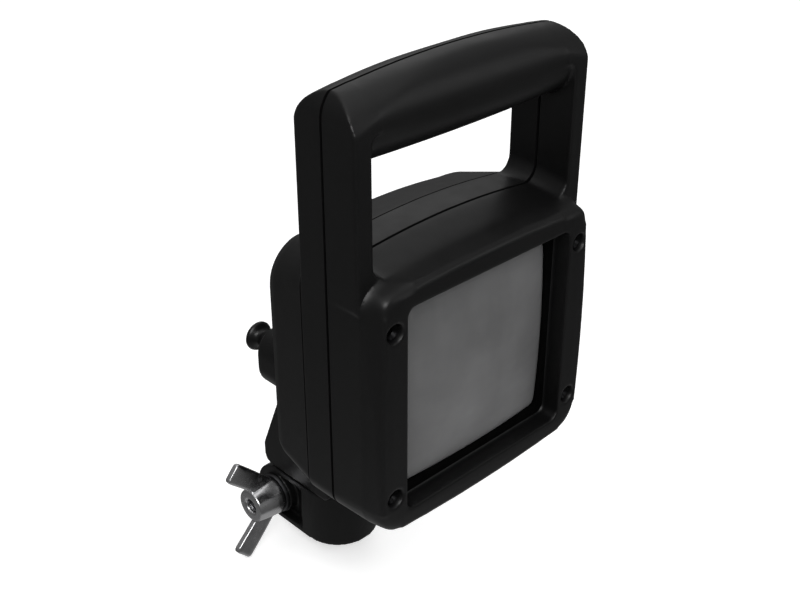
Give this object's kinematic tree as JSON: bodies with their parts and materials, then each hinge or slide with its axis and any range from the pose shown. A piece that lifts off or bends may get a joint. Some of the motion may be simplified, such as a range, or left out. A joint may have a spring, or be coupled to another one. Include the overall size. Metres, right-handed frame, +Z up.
{
  "type": "floodlight",
  "caption": "Hand-held floodlight with a loop handle, square frosted window, pull switch, and an arm ending in a split pole clamp tightened by a wing nut.",
  "frame": {"origin": "centre of the pole socket's mouth, on the clamp's axis", "axes": "+Z up along the pole, the window faces -Y, +X to the viewer's right when facing the window"},
  "size_m": [0.118, 0.1295, 0.2643],
  "materials": {
    "housing": "satin moulded black",
    "knob": "satin black",
    "rubber": "matte",
    "window": "frosted, faintly mottled",
    "reflector": "bright",
    "plated": "zinc plated",
    "dark_steel": "blackened",
    "bulb_glass": "clear",
    "ceramic": "matte",
    "switch_plastic": "matte",
    "bright_metal": "polished",
    "insulator": "matte",
    "brass": "satin"
  },
  "bodies": {
    "lamp": {"front_housing": "housing", "handle_rear_shell": "housing", "rear_cover": "housing", "cover_seal": "rubber", "front_screws": "dark_steel", "lens": "window", "lens_gasket": "rubber", "reflector": "reflector", "retainer_frame": "plated", "retainer_screws": "plated", "bulb_glass": "bulb_glass", "bulb_base": "plated", "bulb_holder": "ceramic", "switch_body": "switch_plastic", "switch_bush": "plated", "mast_arm": "housing", "arm_screws": "plated", "pole_clamp": "housing", "clamp_screws": "plated", "clamp_bolt": "plated", "clamp_washer": "plated", "contact_insulator": "insulator", "contact_pin": "brass", "contact_nut": "brass"},
    "knob": {"switch_knob": "knob"},
    "nut": {"wing_nut": "bright_metal"}
  },
  "joints": [
    {"name": "switch_pull", "type": "slide", "parent": "lamp", "child": "knob", "axis": [0, 1, 0], "range_m": [0, 0.005]},
    {"name": "wing_nut_turn", "type": "hinge", "parent": "lamp", "child": "nut", "pos_m": [-0.0295, 0.0235, 0.014], "axis": [1, 0, 0], "continuous": true}
  ]
}
